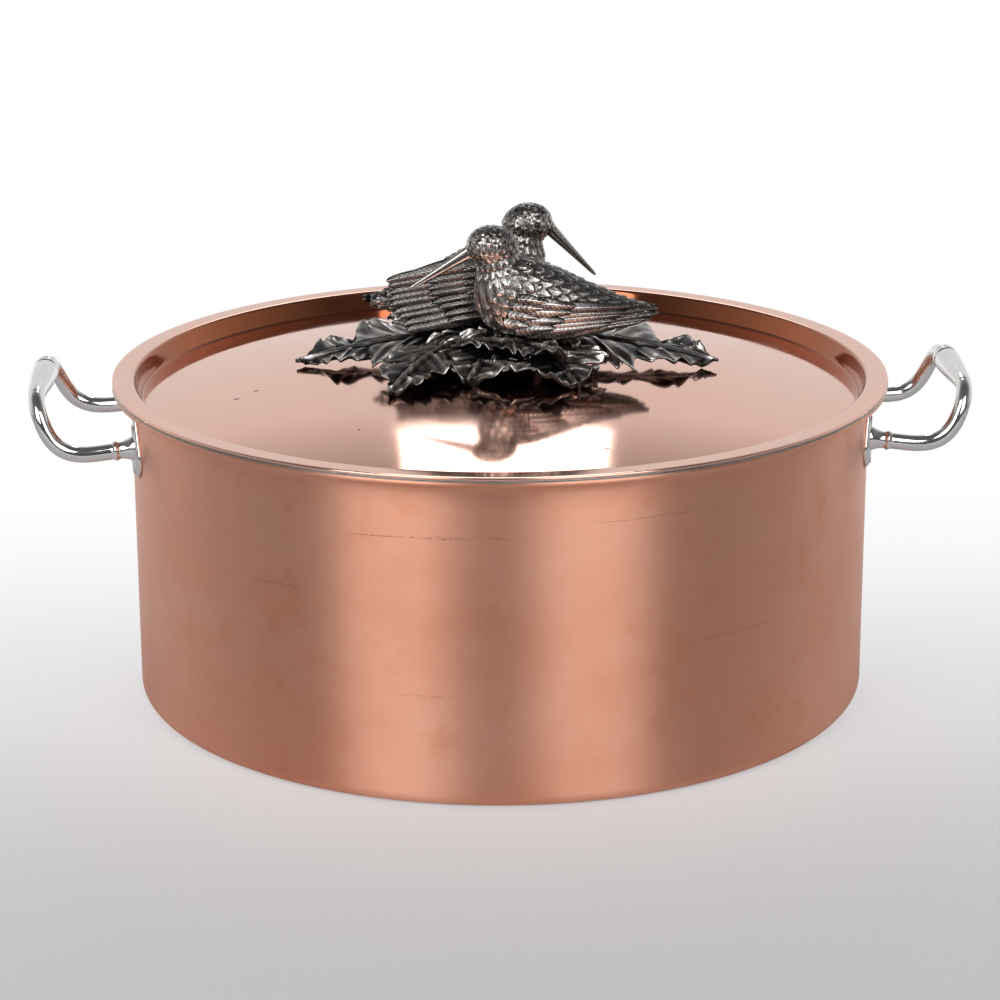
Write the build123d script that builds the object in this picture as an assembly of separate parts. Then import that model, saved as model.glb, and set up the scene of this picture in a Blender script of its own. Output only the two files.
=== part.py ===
from build123d import *

import os
from math import asin, atan2, cos, degrees, hypot, pi, radians, sin, sqrt

os.makedirs("parts", exist_ok=True)

# All sizes are millimetres. The origin is the centre of the pot's underside,
# the two handles lie on the X axis, and the front of the knob looks to -Y.

# Pot
pot_radius = 160.0
pot_height = 138.5
copper_wall = 1.7
tin_thickness = 0.3
base_corner = 5.0
lip_bend = 5.0
lip_overhang = 8.0

# Lid
lid_copper = 1.2
lid_seat_gap = 0.2
lid_side_gap = 1.0
recess_lean = 3.0
recess_top_bend = 2.0
recess_foot_bend = 1.0
crown_rise = 6.0
crown_radius = 850.0

# Handles
foot_offset = 38.0
plate_thickness = 2.2
plate_radius = 8.5
plate_drop = 4.5
plate_tip_rise = 13.0
plate_tip_radius = 1.2
rod_radius = 3.4
grip_reach = 38.5
grip_half_length = 38.5
grip_drop = 0.5
leg_reach = 29.0
leg_drop = 4.0
leg_splay = 3.0
leg_bend = 14.0
grip_bend = 10.0
collar_radius = 5.6
collar_length = 8.0
grip_radius = 5.6
grip_swell_near = 33.0
grip_swell_far = 27.0
groove_start = 11.0
groove_width = 1.6
groove_depth = 0.8
ring_width = 3.2

# Rivets of the handles
rivet_radius = 2.0
rivet_head_radius = 3.6
rivet_head_height = 1.4
rivet_rise = 8.0
rivet_fall = 9.0
rivet_lid_gap = 1.75

# Knob: a mound, two layers of leaves and two birds, held by two studs
knob_turn = -2.3
mound_length = 72.0
mound_width = 48.0
mound_height = 6.5
leaf_bow_radius = 400.0
leaf_thickness = 2.0
leaf_lobes = 4
stud_radius = 2.5
stud_bite = 12.0
washer_radius = 6.5
washer_thickness = 1.0
nut_flats = 8.0
nut_thickness = 4.0
stud_end = 1.5

# Running and seating clearances
seat_gap = 0.1
hole_gap = 0.1

pot_inner = pot_radius - copper_wall - tin_thickness
lip_radius = pot_radius + lip_overhang
lid_sheet = lid_copper + tin_thickness
lid_top = pot_height + lid_seat_gap + lid_sheet
crown_top = lid_top + crown_rise
recess_foot = pot_inner - lid_side_gap - lid_sheet
recess_floor = crown_top - crown_radius + sqrt(crown_radius**2 - recess_foot**2)
upper_rivet = recess_floor - lid_sheet - rivet_lid_gap - rivet_head_radius
foot_height = upper_rivet - rivet_rise
grip_height = pot_height - grip_drop
foot_x = sqrt(pot_radius**2 - foot_offset**2)
foot_turn = degrees(asin(foot_offset / pot_radius))
grip_x = pot_radius + grip_reach
leaf_underside = crown_top + mound_height
bird_seat = leaf_underside + 2 * (leaf_thickness + seat_gap)
plenty = 2 * pot_radius


def ball(radius, top):
    """Ball whose highest point is at the given height on the Z axis."""
    return Pos(0, 0, top - radius) * Sphere(radius)


def turned_sheet(region, outer_depth, inner_depth, low, high):
    """Ring of sheet turned about Z, between two depths under a region's edge."""
    outer = offset(region, amount=-outer_depth) if outer_depth else region
    inner = offset(region, amount=-inner_depth)
    window = Pos(lip_radius / 2, (low + high) / 2) * Rectangle(lip_radius, high - low)
    return revolve(Plane.XZ * ((outer - inner) & window), Axis.Z)


def pot_region():
    """What lies inside the pot's outer surface, widened far past the lip."""
    lip_underside = pot_height - copper_wall - tin_thickness
    points = [
        (-pot_radius, 0),
        (pot_radius, 0),
        (pot_radius, lip_underside),
        (plenty, lip_underside),
        (plenty, plenty),
        (-plenty, plenty),
        (-plenty, lip_underside),
        (-pot_radius, lip_underside),
    ]
    bends = [base_corner, base_corner, lip_bend, 0, 0, 0, 0, lip_bend]
    return make_face(FilletPolyline(points, radius=bends, close=True))


def lid_region():
    """What lies under the lid's upper surface: a crown sunk in a round recess."""
    lean = recess_lean / (lid_top - recess_floor)
    deep = recess_lean
    low = (recess_foot - deep * lean, recess_floor - deep)
    high = (recess_foot + (crown_top + deep - recess_floor) * lean, crown_top + deep)
    recess = Polygon((-low[0], low[1]), low, high, (-high[0], high[1]), align=None)
    crown = Pos(0, crown_top - crown_radius) * Circle(crown_radius)
    slab = Pos(0, lid_top - plenty / 2) * Rectangle(2 * plenty, plenty)
    region = (slab - recess) + (recess & crown)
    corners = region.vertices().filter_by(lambda v: abs(v.X) < pot_radius)
    top_corners = corners.filter_by(lambda v: abs(v.Y - lid_top) < seat_gap)
    region = fillet(top_corners, recess_top_bend)
    corners = region.vertices().filter_by(lambda v: abs(v.Y - recess_floor) < seat_gap)
    return fillet(corners, recess_foot_bend)


def around_feet(shape, height):
    """Copies of a shape that points outward along X, one at each of four feet."""
    turns = [foot_turn, -foot_turn, 180 - foot_turn, 180 + foot_turn]
    return [Pos(0, 0, height) * Rot(0, 0, turn) * shape for turn in turns]


def rivet_heights():
    return [foot_height + rivet_rise, foot_height - rivet_fall]


def rivet_holes():
    """Radial bores through wall, lining and foot plates."""
    reach = 6 * copper_wall
    bore = Pos(pot_radius, 0, 0) * Rot(0, 90, 0) * Cylinder(rivet_radius + hole_gap, reach)
    return [hole for height in rivet_heights() for hole in around_feet(bore, height)]


def rivet():
    """One rivet along X: low round head inside the pot, shank to the plate's face."""
    head_face = sqrt(pot_inner**2 - rivet_head_radius**2) - seat_gap
    tip = sqrt((pot_radius + plate_thickness) ** 2 - rivet_radius**2)
    head = Pos(head_face - rivet_head_height / 2, 0, 0) * Rot(0, 90, 0)
    head = head * Cylinder(rivet_head_radius, rivet_head_height)
    head = fillet(head.edges().sort_by(Axis.X)[0], 0.7 * rivet_head_height)
    shank = Rot(0, 90, 0) * Cylinder(rivet_radius, tip - head_face + rivet_head_height / 2)
    middle = (tip + head_face - rivet_head_height / 2) / 2
    return head + Pos(middle, 0, 0) * shank


def rivets(side):
    """The four rivets of the handle on one side, +1 or -1 along X."""
    loose = [one for height in rivet_heights() for one in around_feet(rivet(), height)]
    return Compound([one for one in loose if one.center().X * side > 0])


def foot_plate(side):
    """Pear-shaped plate that hugs the wall, point up, at one foot of a handle."""
    lean = asin((plate_radius - plate_tip_radius) / (plate_drop + plate_tip_rise))
    low = (plate_radius * cos(lean), plate_radius * sin(lean) - plate_drop)
    high = (plate_tip_radius * cos(lean), plate_tip_radius * sin(lean) + plate_tip_rise)
    outline = Polygon((-low[0], low[1]), low, high, (-high[0], high[1]), align=None)
    outline += Pos(0, -plate_drop) * Circle(plate_radius)
    outline += Pos(0, plate_tip_rise) * Circle(plate_tip_radius)
    blank = extrude(Plane.YZ * (Pos(side * foot_offset, foot_height) * outline), 2 * pot_radius)
    skin = Cylinder(pot_radius + plate_thickness, plenty)
    return blank & (Pos(0, 0, foot_height) * skin)


def grip_swelling():
    """Acorn-like swelling of the grip with a groove and a ring on its far side."""
    groove_end = groove_start + groove_width
    ring_end = groove_end + ring_width
    cap_start = ring_end + groove_width / 2
    bottom = grip_radius - groove_depth
    nut = Spline(
        (rod_radius, -grip_swell_near),
        (0.5 * (rod_radius + grip_radius), -0.55 * grip_swell_near),
        (grip_radius, groove_start),
        tangents=[(0.02, 1), (0, 1)],
    )
    steps = Polyline(
        (grip_radius, groove_start),
        (bottom, groove_start + 0.3 * groove_width),
        (bottom, groove_end - 0.3 * groove_width),
        (grip_radius, groove_end),
        (grip_radius, ring_end),
        (bottom, ring_end + 0.2 * groove_width),
        (grip_radius - 0.3 * groove_depth, cap_start),
    )
    cap = Spline(
        (grip_radius - 0.3 * groove_depth, cap_start),
        (rod_radius, grip_swell_far),
        tangents=[(-0.1, 1), (-0.02, 1)],
    )
    close = Polyline(
        (rod_radius, grip_swell_far),
        (0, grip_swell_far),
        (0, -grip_swell_near),
        (rod_radius, -grip_swell_near),
    )
    profile = make_face(nut + steps + cap + close)
    return Pos(grip_x, 0, grip_height) * revolve(profile, Axis.Y)


def right_handle():
    """One casting: two foot plates, two collared legs and the raised grip."""
    leg_x = foot_x + leg_reach + collar_radius
    leg_y = foot_offset + leg_splay
    leg_z = foot_height - leg_drop
    inside = foot_x - collar_length
    path = FilletPolyline(
        (inside, -foot_offset, foot_height),
        (leg_x, -leg_y, leg_z),
        (grip_x, -grip_half_length, grip_height),
        (grip_x, grip_half_length, grip_height),
        (leg_x, leg_y, leg_z),
        (inside, foot_offset, foot_height),
        radius=[leg_bend, grip_bend, grip_bend, leg_bend],
    )
    section = Plane(origin=path @ 0, z_dir=path % 0) * Circle(rod_radius)
    handle = sweep(section, path) + grip_swelling()
    for side in (-1, 1):
        collar = Rot(0, 90, 0) * Cone(collar_radius, rod_radius, collar_length)
        handle += Pos(foot_x + plate_thickness + collar_length / 2 - 1, side * foot_offset,
                      foot_height - 0.4) * collar
        handle += foot_plate(side)
    handle -= Cylinder(pot_radius + seat_gap, plenty)
    for hole in rivet_holes():
        handle -= hole
    return handle


# The leaves radiate from the mound: base x, y, tip x, y and width, and a layer,
# 0 on the mound or 1 on top of the others. Seen from above, +Y is behind.
leaves = {
    "leaf_left": (-22, 3, -88, -1, 34, 0),
    "leaf_front_left": (-22, -12, -48, -58, 25, 0),
    "leaf_front_centre": (0, -12, -8, -50, 20, 0),
    "leaf_front_right": (18, -10, 36, -50, 34, 0),
    "leaf_right": (28, 0, 95, -3, 34, 0),
    "leaf_back_right": (20, 15, 60, 54, 29, 0),
    "leaf_back": (0, 16, 4, 60, 32, 0),
    "leaf_back_left": (-15, 16, -47, 54, 27, 0),
    "leaf_centre": (-14, -27, 30, -43, 24, 1),
}

# Studs, each under one bird
stud_places = [(16, -21), (-14, 9)]

# The birds stand side by side on slanting middle planes. An oval of a body is
# its x, its rise over the leaves, its half width and its half height. A neck
# and a bill's tip are x and rise, and a head is x, rise and radius.
bird_slant = 0.194
front_bird_offset = -22.0
front_spine = [
    (-10, 24, 5, 8),
    (-3, 21, 10, 16),
    (9, 18, 13, 19.5),
    (24, 15, 13, 17),
    (40, 12.5, 10, 11.5),
    (56, 11.5, 7, 5.5),
    (68, 11, 4, 1.5),
]
front_neck = (0, 29)
front_head = (-3, 42, 9.5)
front_bill_tip = (-37, 25)
rear_bird_offset = 12.0
rear_spine = [
    (21, 24, 5, 7),
    (15, 21, 9, 15),
    (2, 18, 11, 19),
    (-14, 16, 11.5, 17.5),
    (-30, 15, 11, 13),
    (-45, 15, 9, 8),
    (-60, 17, 6, 3),
]
rear_neck = (10, 29)
rear_head = (12, 44, 9.5)
rear_bill_tip = (42, 19.5)
bill_base = 3.6
bill_end = 0.7


def leaf_outline(length, width):
    """Lobed outline along X: a notch and a forward-swept point for each lobe."""
    half = [(0.0, 0.06 * width)]
    for lobe in range(leaf_lobes):
        for share, depth in ((0.15, 0.62), (0.85, 1.0)):
            along = (lobe + share) / leaf_lobes * 0.93
            spread = 0.5 * width * sin(pi * along**0.8) ** 0.7
            half.append((along * length, depth * spread))
    other = [(x, -y) for x, y in reversed(half)]
    return make_face(Polyline(*half, (length, 0), *other, close=True))


def leaf_layer(layer):
    """Curved sheet that the leaves of one layer are cut from, bowed over the lid."""
    underside = leaf_underside + layer * (leaf_thickness + seat_gap)
    upper = ball(leaf_bow_radius + leaf_thickness, underside + leaf_thickness)
    return upper - ball(leaf_bow_radius, underside)


def leaf(base_x, base_y, tip_x, tip_y, width, layer):
    length = hypot(tip_x - base_x, tip_y - base_y)
    turn = degrees(atan2(tip_y - base_y, tip_x - base_x))
    place = Pos(base_x, base_y, 0) * Rot(0, 0, turn)
    column = extrude(place * leaf_outline(length, width), 2 * crown_top)
    return column & leaf_layer(layer)


def mound():
    """Oval casting that seats on the crown and carries the leaves."""
    column = extrude(Ellipse(mound_length / 2, mound_width / 2), 2 * crown_top)
    under_leaves = ball(leaf_bow_radius - seat_gap, leaf_underside - seat_gap)
    return (column & under_leaves) - ball(crown_radius + seat_gap, crown_top + seat_gap)


def bird(stations, neck, head, bill_tip):
    """Body lofted through upright ovals, with neck, head and a long tapered bill.

    A station is x, y, height of the middle, half width and half height.
    """
    ovals = []
    for x, y, z, half_width, half_height in stations:
        plane = Plane(origin=(x, y, z), x_dir=(0, 1, 0), z_dir=(1, 0, 0))
        ovals.append(plane * Ellipse(half_width, half_height))
    body = loft(ovals)
    crane = Vector(*head[:3]) - Vector(*neck)
    throat = Plane(origin=neck, z_dir=crane) * Pos(0, 0, crane.length / 2)
    body += throat * Cone(head[3] + 1.5, head[3] - 1.5, crane.length)
    body += Pos(*head[:3]) * Sphere(head[3])
    aim = Vector(*bill_tip) - Vector(*head[:3])
    bill = Plane(origin=head[:3], z_dir=aim) * Pos(0, 0, aim.length / 2)
    body += bill * Cone(bill_base, bill_end, aim.length)
    return body - ball(leaf_bow_radius + bird_seat - leaf_underside, bird_seat)


def on_seat(x, side_offset, rise):
    """Point on a bird's slanting middle plane, by its rise over the leaves."""
    return (x, side_offset + bird_slant * x, bird_seat + rise)


def standing_bird(spine, side_offset, neck, head, bill_tip):
    """Bird from its ovals and its three key points, all by x and rise."""
    stations = [(*on_seat(x, side_offset, z), wide, high) for x, z, wide, high in spine]
    crown_ball = (*on_seat(head[0], side_offset, head[1]), head[2])
    neck_place = on_seat(neck[0], side_offset, neck[1])
    return bird(stations, neck_place, crown_ball, on_seat(bill_tip[0], side_offset, bill_tip[1]))


def in_knob_frame(shape):
    return Rot(0, 0, knob_turn) * shape


def crown_height(x, y):
    """Height of the crown's upper surface above the point x, y."""
    return crown_top - crown_radius + sqrt(crown_radius**2 - x**2 - y**2)


def stud_bores(radius, top):
    """Upright round bars on the stud places, up to the given height."""
    bar = Pos(0, 0, top / 2) * Cylinder(radius, top)
    return [Pos(x, y, 0) * bar for x, y in stud_places]


def without_studs(shape):
    for bore in stud_bores(stud_radius + hole_gap, bird_seat + stud_bite + hole_gap):
        shape -= bore
    return shape


def fixings():
    """Studs that grip the birds, with a washer and a nut each under the lid."""
    studs, washers, nuts = [], [], []
    for x, y in stud_places:
        ceiling = crown_height(abs(x) + washer_radius, abs(y)) - lid_sheet - seat_gap
        washer_z = ceiling - washer_thickness
        nut_z = washer_z - nut_thickness
        bottom = nut_z - stud_end
        length = bird_seat + stud_bite - bottom
        here = Pos(x, y, bottom)
        low = (Align.CENTER, Align.CENTER, Align.MIN)
        studs.append(here * Cylinder(stud_radius, length, align=low))
        ring = Circle(washer_radius) - Circle(stud_radius + hole_gap)
        washers.append(Pos(x, y, washer_z) * extrude(ring, washer_thickness))
        hexagon = RegularPolygon(nut_flats / 2, 6, major_radius=False)
        hexagon = hexagon - Circle(stud_radius + hole_gap)
        nuts.append(Pos(x, y, nut_z) * extrude(hexagon, nut_thickness))
    return {
        "knob_studs": Compound(studs),
        "knob_washers": Compound(washers),
        "knob_nuts": Compound(nuts),
    }


def pot_parts():
    region = pot_region()
    lining_depth = copper_wall + tin_thickness
    shell = turned_sheet(region, 0, copper_wall, 0, pot_height)
    lining = turned_sheet(region, copper_wall, lining_depth, 0, pot_height)
    for hole in rivet_holes():
        shell -= hole
        lining -= hole
    right = right_handle()
    return {
        "pot_shell": shell,
        "pot_lining": lining,
        "right_handle": right,
        "left_handle": mirror(right, about=Plane.YZ),
        "right_handle_rivets": rivets(1),
        "left_handle_rivets": rivets(-1),
    }


def lid_parts():
    region = lid_region()
    low, high = pot_height - plate_radius * 2, lid_top
    shell = turned_sheet(region, 0, lid_copper, low, high + crown_rise)
    lining = turned_sheet(region, lid_copper, lid_sheet, low, high + crown_rise)
    for bore in stud_bores(stud_radius + hole_gap, 2 * crown_top):
        shell -= in_knob_frame(bore)
        lining -= in_knob_frame(bore)
    return {"lid_shell": shell, "lid_lining": lining}


def knob_parts():
    parts = {"knob_mound": mound()}
    parts["front_bird"] = standing_bird(
        front_spine, front_bird_offset, front_neck, front_head, front_bill_tip
    )
    parts["rear_bird"] = standing_bird(
        rear_spine, rear_bird_offset, rear_neck, rear_head, rear_bill_tip
    )
    for name, size in leaves.items():
        parts[name] = leaf(*size)
    parts = {name: without_studs(shape) for name, shape in parts.items()}
    parts.update(fixings())
    return {name: in_knob_frame(shape) for name, shape in parts.items()}


for name, shape in {**pot_parts(), **lid_parts(), **knob_parts()}.items():
    shape.label = name
    export_step(shape, "parts/" + name + ".step")
    print(name, round(shape.volume), shape.bounding_box())
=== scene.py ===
import bmesh
import bpy
import numpy as np
from math import acos, asin, atan, atan2, copysign, cos, degrees, exp, hypot, pi, radians, sin, sqrt, tan
from mathutils import Matrix, Vector


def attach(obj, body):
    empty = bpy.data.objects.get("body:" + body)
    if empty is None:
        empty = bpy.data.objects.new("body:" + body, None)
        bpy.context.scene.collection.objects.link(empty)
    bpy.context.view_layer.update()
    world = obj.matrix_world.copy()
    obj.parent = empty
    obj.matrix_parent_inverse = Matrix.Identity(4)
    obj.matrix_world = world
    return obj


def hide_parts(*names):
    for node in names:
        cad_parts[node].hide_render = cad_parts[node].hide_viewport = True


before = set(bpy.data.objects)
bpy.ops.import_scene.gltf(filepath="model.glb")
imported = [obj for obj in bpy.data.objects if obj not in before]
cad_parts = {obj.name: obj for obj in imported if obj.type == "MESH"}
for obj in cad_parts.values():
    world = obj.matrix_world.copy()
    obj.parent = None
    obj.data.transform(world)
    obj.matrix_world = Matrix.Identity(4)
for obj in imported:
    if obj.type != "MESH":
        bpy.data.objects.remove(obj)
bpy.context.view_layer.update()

mm = 0.001


# Sheet copper wall of the pot. It is spun from one disc, with a tight round
# corner at the foot and a short lip turned outward at the top, and brushed
# round and round to a satin finish that blurs what it reflects up and down.
pot_radius = 160.0
pot_height = 138.5
copper_wall = 1.7
tin_thickness = 0.3
foot_corner = 5.0
lip_bend = 5.0
lip_radius = 168.0
edge_round = 0.5
bend_margin = 0.4
turned_steps = 320


def arc_points(centre_r, centre_z, radius, start, end, count):
    """Points of an arc in the turning plane, angles in degrees from +R."""
    angles = np.radians(np.linspace(start, end, count))
    return [(centre_r + radius * cos(a), centre_z + radius * sin(a)) for a in angles]


def steps_between(start, end, gap):
    """Evenly spaced points on a straight run, both ends left out."""
    start, end = np.array(start), np.array(end)
    count = max(1, int(np.linalg.norm(end - start) / gap))
    return [tuple(start + (end - start) * i / count) for i in range(1, count)]


def sheet_outline(line, near, far):
    """Closed outline of a sheet between two depths to the left of a line."""
    line = np.array(line)
    along = np.gradient(line, axis=0)
    along /= np.linalg.norm(along, axis=1)[:, None]
    left = np.stack([-along[:, 1], along[:, 0]], axis=1)
    left[0] = (0, copysign(1, left[0][1]))
    one, two = line + left * near, line + left * far
    middle, half = (near + far) / 2, (far - near) / 2
    turn = np.linspace(-1, 1, 7)[1:-1] * pi / 2
    cap = [line[-1] + left[-1] * (middle + half * sin(a)) + along[-1] * edge_round * cos(a) for a in turn]
    return [tuple(p) for p in one] + [tuple(p) for p in cap] + [tuple(p) for p in two[::-1]]


def new_object(name, data):
    item = bpy.data.objects.new(name, data)
    bpy.context.scene.collection.objects.link(item)
    return item


def mesh_piece(name, points, faces):
    """New object at the origin from points in millimetres."""
    mesh = bpy.data.meshes.new(name)
    mesh.from_pydata([tuple(mm * c for c in p) for p in points], [], faces)
    mesh.shade_smooth()
    return new_object(name, mesh)


def turned_piece(name, outline):
    """Solid turned about Z from a closed outline that starts and ends on the axis."""
    points, faces = [(0, 0, outline[0][1]), (0, 0, outline[-1][1])], []
    rings, steps = outline[1:-1], turned_steps
    for radius, z in rings:
        for i in range(steps):
            turn = 2 * pi * i / steps
            points.append((radius * cos(turn), radius * sin(turn), z))
    last = 2 + (len(rings) - 1) * steps
    for i in range(steps):
        j = (i + 1) % steps
        faces.append((0, 2 + j, 2 + i))
        faces.append((1, last + i, last + j))
        for ring in range(len(rings) - 1):
            a, b = 2 + ring * steps, 2 + (ring + 1) * steps
            faces.append((a + i, a + j, b + j, b + i))
    return mesh_piece(name, points, faces)


def new_material(name, metallic=1.0):
    """A material with its tree and its main shader, a metal unless told otherwise."""
    material = bpy.data.materials.new(name)
    material.use_nodes = True
    shader = material.node_tree.nodes["Principled BSDF"]
    shader.inputs["Metallic"].default_value = metallic
    return material, material.node_tree, shader


def add(tree, kind, inputs=(), **settings):
    """New node with its settings and its inputs, which may be sockets or values."""
    node = tree.nodes.new(kind)
    for key, value in settings.items():
        setattr(node, key, value)
    for key, value in dict(inputs).items():
        if isinstance(value, bpy.types.NodeSocket):
            tree.links.new(value, node.inputs[key])
        else:
            node.inputs[key].default_value = value
    return node


def maths(tree, operation, *values):
    """Result of one operation on sockets or numbers."""
    return add(tree, "ShaderNodeMath", dict(enumerate(values)), operation=operation).outputs[0]


def ranged(tree, value, low, high, at_low=0.0, at_high=1.0, kind="LINEAR"):
    """A value carried from one range over to another, and held at both ends."""
    ends = {"Value": value, "From Min": low, "From Max": high, "To Min": at_low, "To Max": at_high}
    return add(tree, "ShaderNodeMapRange", ends, interpolation_type=kind).outputs[0]


def object_place(tree):
    return add(tree, "ShaderNodeTexCoord").outputs["Object"]


def round_place(tree):
    """Turn about Z, distance from Z and height of a place on the object."""
    parts = add(tree, "ShaderNodeSeparateXYZ", {0: object_place(tree)})
    turn = maths(tree, "ARCTAN2", parts.outputs[1], parts.outputs[0])
    flat = add(tree, "ShaderNodeCombineXYZ", {0: parts.outputs[0], 1: parts.outputs[1]})
    far = add(tree, "ShaderNodeVectorMath", {0: flat.outputs[0]}, operation="LENGTH")
    return turn, far.outputs["Value"], parts.outputs[2]


def stretched(tree, around, out, up):
    """Turn, distance and height of a place, each scaled, as one vector."""
    factors = (around, out, up)
    scaled = [maths(tree, "MULTIPLY", *pair) for pair in zip(round_place(tree), factors)]
    return add(tree, "ShaderNodeCombineXYZ", dict(enumerate(scaled))).outputs[0]


def noise(tree, vector, scale, detail=3.0, roughness=0.5):
    values = {"Vector": vector, "Scale": scale, "Detail": detail, "Roughness": roughness}
    return add(tree, "ShaderNodeTexNoise", values).outputs["Fac"]


def ramp(tree, fac, stops):
    """Colour ramp from places and greys."""
    node = add(tree, "ShaderNodeValToRGB", {"Fac": fac})
    while len(node.color_ramp.elements) < len(stops):
        node.color_ramp.elements.new(0.5)
    for element, (place, grey) in zip(node.color_ramp.elements, stops):
        element.position = place
        element.color = (grey, grey, grey, 1)
    return node.outputs["Color"]


def mixed(tree, fac, one, two):
    """Mix of two colours, which may be sockets or values."""
    node = add(tree, "ShaderNodeMix", {"Factor": fac}, data_type="RGBA")
    for key, value in (("A", one), ("B", two)):
        socket = [s for s in node.inputs if s.name == key and s.type == "RGBA"][0]
        if isinstance(value, bpy.types.NodeSocket):
            tree.links.new(value, socket)
        else:
            socket.default_value = (*value, 1)
    return [s for s in node.outputs if s.type == "RGBA"][0]


def dress(tree, shader, colour, roughness, height, strength, distance):
    """Gives a shader its colour, its roughness and its bumps."""
    bump = add(tree, "ShaderNodeBump", {"Height": height, "Strength": strength, "Distance": distance})
    for key, socket in (("Base Color", colour), ("Roughness", roughness), ("Normal", bump.outputs[0])):
        tree.links.new(socket, shader.inputs[key])


# Fine scratches round the wall: height, first and last turn in degrees, width
wall_scratches = [
    (112.6, -115.0, -96.0, 0.35),
    (113.4, -103.0, -88.0, 0.22),
    (118.5, -80.0, -62.0, 0.18),
    (86.0, -132.0, -121.0, 0.20),
    (64.0, -64.0, -48.0, 0.16),
    (47.0, -108.0, -97.0, 0.16),
]
scratch_sway = 0.0024


def scratch_mark(tree, height, start, end, width):
    """One broken hair line round the wall, as a share from 0 to 1."""
    turn, _, up = round_place(tree)
    sway = noise(tree, stretched(tree, 4, 0, 0), 2.0, 2)
    level = maths(tree, "MULTIPLY_ADD", sway, scratch_sway, height * mm - scratch_sway / 2)
    away = maths(tree, "ABSOLUTE", maths(tree, "SUBTRACT", up, level))
    line = ranged(tree, away, 0.0, width * mm, 1.0, 0.0)
    middle, half = radians((start + end) / 2), radians((end - start) / 2)
    reach = maths(tree, "ABSOLUTE", maths(tree, "SUBTRACT", turn, middle))
    ends = ranged(tree, reach, 0.6 * half, half, 1.0, 0.0)
    breaks = ramp(tree, noise(tree, stretched(tree, 30, 0, 400), 3.0, 3), [(0.40, 0.0), (0.55, 0.85)])
    return maths(tree, "MULTIPLY", maths(tree, "MULTIPLY", line, ends), breaks)


def brushed_copper():
    """Satin copper with lines round the wall, cloudy handling marks and warm stains."""
    material, tree, shader = new_material("brushed_copper")
    deep, pale = (0.80, 0.375, 0.25), (0.86, 0.46, 0.33)
    stain_brown, scratch_brown = (0.72, 0.28, 0.14), (0.16, 0.07, 0.045)
    shader.inputs["Anisotropic"].default_value = 0.94
    shader.inputs["Anisotropic Rotation"].default_value = 0.25
    tangent = add(tree, "ShaderNodeTangent", direction_type="RADIAL", axis="Z")
    tree.links.new(tangent.outputs[0], shader.inputs["Tangent"])
    lines = noise(tree, stretched(tree, 1.2, 40, 900), 1.6, 4)
    clouds = noise(tree, stretched(tree, 1.0, 6, 9), 2.3, 5, 0.6)
    stains = noise(tree, object_place(tree), 26, 4, 0.65)
    colour = mixed(tree, ramp(tree, clouds, [(0.35, 0.0), (0.7, 1.0)]), deep, pale)
    colour = mixed(tree, ramp(tree, stains, [(0.56, 0.0), (0.78, 0.55)]), colour, stain_brown)
    for scratch in wall_scratches:
        colour = mixed(tree, scratch_mark(tree, *scratch), colour, scratch_brown)
    dress(tree, shader, colour, ramp(tree, clouds, [(0.3, 0.38), (0.75, 0.50)]), lines, 0.10, 0.0004)
    return material


flat_end = pot_radius - foot_corner
lip_under = pot_height - copper_wall - tin_thickness
wall_top = lip_under - lip_bend
wall_line = [(0.0, 0.0)] + steps_between((0, 0), (flat_end, 0), 12) + [(flat_end - bend_margin, 0)]
wall_line += arc_points(flat_end, foot_corner, foot_corner, -90, 0, 12)
wall_line += [(pot_radius, foot_corner + bend_margin)]
wall_line += steps_between((pot_radius, foot_corner), (pot_radius, wall_top), 6)
wall_line += [(pot_radius, wall_top - bend_margin)]
wall_line += arc_points(pot_radius + lip_bend, wall_top, lip_bend, 180, 90, 12)
wall_line += [(pot_radius + lip_bend + bend_margin, lip_under), (lip_radius - edge_round, lip_under)]

pot_wall = turned_piece("pot_wall", sheet_outline(wall_line, 0, copper_wall))
pot_wall.data.materials.append(brushed_copper())
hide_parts("pot_shell")
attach(pot_wall, "pot")


# Tin lining of the pot, wiped on hot over the whole inside and over the lip.
# It is soft grey, with cloudy swirls where the cloth passed.
lining_depth = copper_wall + tin_thickness


def wiped_tin():
    material, tree, shader = new_material("wiped_tin")
    dull, clear = (0.55, 0.54, 0.52), (0.74, 0.73, 0.71)
    swirls = noise(tree, stretched(tree, 1.5, 30, 30), 2.4, 6, 0.6)
    grain = noise(tree, stretched(tree, 6, 160, 160), 3, 4)
    colour = mixed(tree, ramp(tree, swirls, [(0.3, 0.0), (0.7, 1.0)]), dull, clear)
    dress(tree, shader, colour, ramp(tree, swirls, [(0.3, 0.24), (0.75, 0.42)]), grain, 0.12, 0.0006)
    return material


tin = wiped_tin()
pot_tin = turned_piece("pot_tin", sheet_outline(wall_line, copper_wall, lining_depth))
pot_tin.data.materials.append(tin)
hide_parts("pot_lining")
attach(pot_tin, "pot")


# Two handles, each one casting of silver-white metal: a rod that leaves two
# pear-shaped foot plates, dips, turns up and over into a raised grip that
# swells like an acorn, with two turned grooves behind the swelling.
foot_offset = 38.0
foot_height = 117.0
foot_x = sqrt(pot_radius**2 - foot_offset**2)
plate_thickness = 2.2
plate_edge = 0.12
plate_radius = 8.5
plate_drop = 4.5
plate_tip_rise = 13.0
plate_tip_radius = 1.2
rod_radius = 3.4
rod_step = 0.5
grip_x = 198.5
grip_half_length = 38.5
grip_height = 138.0
leg_x = foot_x + 34.6
leg_y = foot_offset + 3.0
leg_z = foot_height - 4.0
leg_bend = 14.0
grip_bend = 10.0
easing_rounds = 260
fixed_ends = 14
collar_radius = 5.4
collar_length = 4.2
bead_height, bead_place, bead_width = 0.75, 8.6, 0.9
grip_radius = 5.6
swell_start, swell_end, cap_start, cap_end = -33.0, 11.0, 16.0, 27.0
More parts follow.
